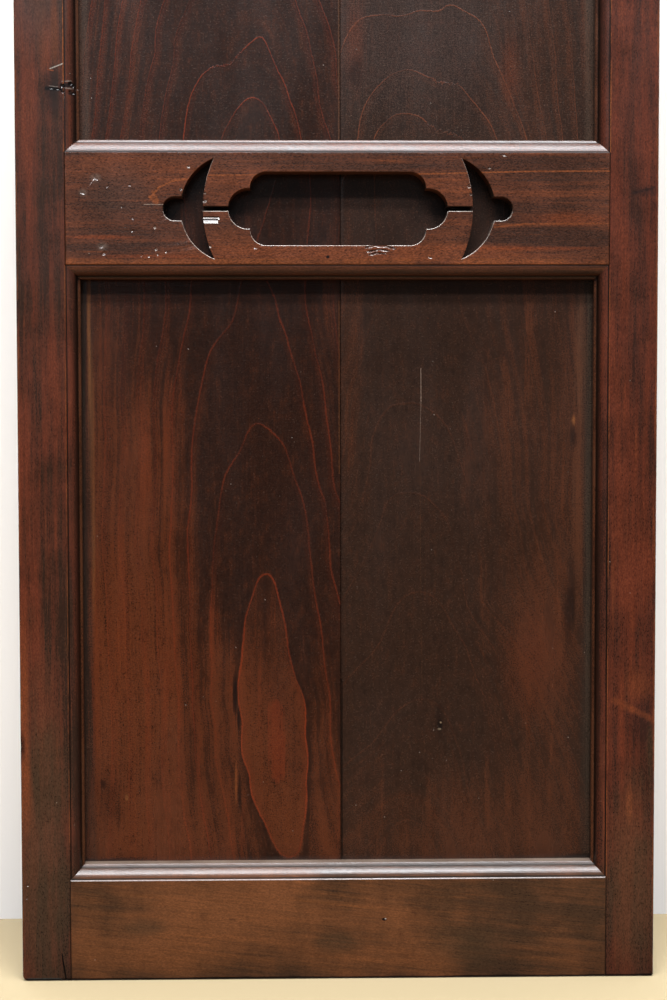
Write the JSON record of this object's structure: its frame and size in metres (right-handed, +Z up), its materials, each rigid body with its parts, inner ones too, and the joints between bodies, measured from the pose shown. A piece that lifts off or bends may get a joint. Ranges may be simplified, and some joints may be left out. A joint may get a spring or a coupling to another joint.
{
  "type": "carved panel door leaf",
  "caption": "Tall framed wooden door leaf with upright boards, moulded stiles and rails, and a belt rail with an openwork cartouche between crescents.",
  "frame": {"origin": "middle of the leaf's foot, halfway through its thickness", "axes": "+X to the right as seen from the carved front, +Y from the front to the back, +Z up"},
  "size_m": [0.7, 0.048, 1.76],
  "materials": {
    "stile_wood": "dark red-brown, semi-gloss, worn",
    "rail_wood": "brown, semi-gloss, worn",
    "belt_wood": "brown, semi-gloss, worn",
    "board_wood": "dark brown, semi-gloss, reddish grain",
    "wedge_wood": "end grain, dull"
  },
  "bodies": {
    "root": {"left_stile": "stile_wood", "right_stile": "stile_wood", "bottom_rail": "rail_wood", "top_rail": "rail_wood", "belt_rail": "belt_wood", "back_rail": "rail_wood", "left_board": "board_wood", "right_board": "board_wood", "tenon_wedges": "wedge_wood"}
  },
  "joints": []
}
